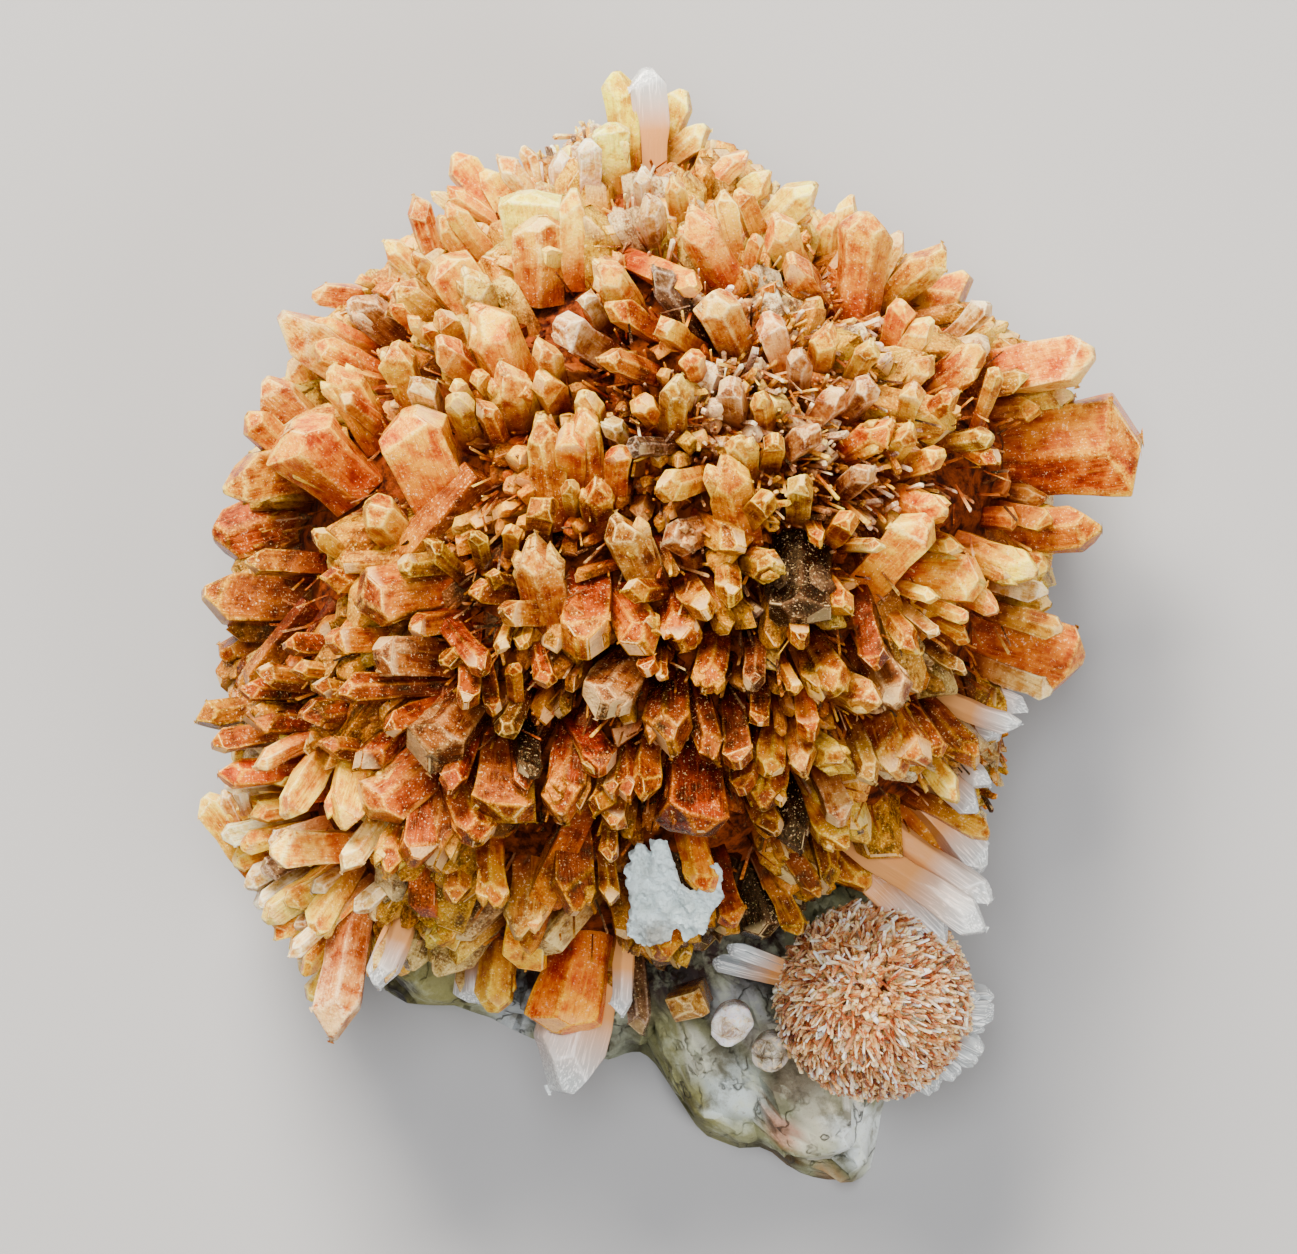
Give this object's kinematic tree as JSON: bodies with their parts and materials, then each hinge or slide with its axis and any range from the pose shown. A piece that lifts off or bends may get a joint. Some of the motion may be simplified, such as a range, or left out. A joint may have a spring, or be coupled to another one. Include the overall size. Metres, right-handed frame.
{
  "type": "creedite cluster",
  "caption": "Domed radiating cluster of amber creedite crystals on a flat-bottomed piece of pale matrix, with a small peach side ball, a white flake and loose grains.",
  "frame": {"origin": "a point on the flat resting face of the matrix, below the middle of the specimen as it is seen from the front", "axes": "-Z is the outward normal of the resting face and +Z points up out of the crystals; +Y runs along the specimen's longest extent, and +X to its right as the dome is looked at with +Y up"},
  "size_m": [0.0799, 0.0949, 0.0449],
  "materials": {
    "main_cluster": "vitreous amber to orange creedite crystals, translucent, with paler tips",
    "side_cluster": "sugary peach creedite, with clear longer blades at two sides",
    "matrix": "rough pale grey-green rock",
    "white_flake": "dull chalky white",
    "honey_crystal": "vitreous honey crystal",
    "milky_lump": "milky white, waxy",
    "grey_lump": "grey, glassy"
  },
  "bodies": {
    "root": {"main_cluster": "main_cluster", "side_cluster": "side_cluster", "matrix": "matrix", "white_flake": "white_flake", "honey_crystal": "honey_crystal", "milky_lump": "milky_lump", "grey_lump": "grey_lump"}
  },
  "joints": []
}
